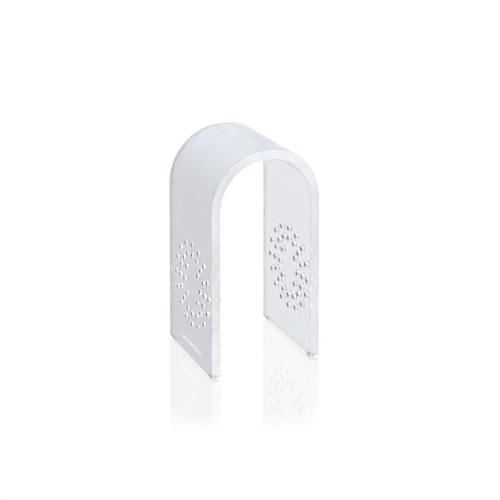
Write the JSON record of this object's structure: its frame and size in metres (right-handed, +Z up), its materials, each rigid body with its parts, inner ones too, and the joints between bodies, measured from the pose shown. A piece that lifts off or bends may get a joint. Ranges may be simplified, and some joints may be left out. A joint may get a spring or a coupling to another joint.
{
  "type": "headphone stand",
  "caption": "Desk stand for headphones: one thick frosted acrylic sheet bent into an arch, with rings of drilled holes in each leg and small clear bumper feet.",
  "frame": {"origin": "centre of the footprint, on the table plane that the four feet stand on", "axes": "+Z up, X across the two legs with the left leg at -X, and -Y towards the front, the edge that the rings of holes are a little nearer to"},
  "size_m": [0.121, 0.11, 0.2263],
  "materials": {
    "frosted_acrylic": "satin",
    "clear_rubber": "gloss"
  },
  "bodies": {
    "root": {"arch_body": "frosted_acrylic", "foot_front_left": "clear_rubber", "foot_front_right": "clear_rubber", "foot_rear_left": "clear_rubber", "foot_rear_right": "clear_rubber"}
  },
  "joints": []
}
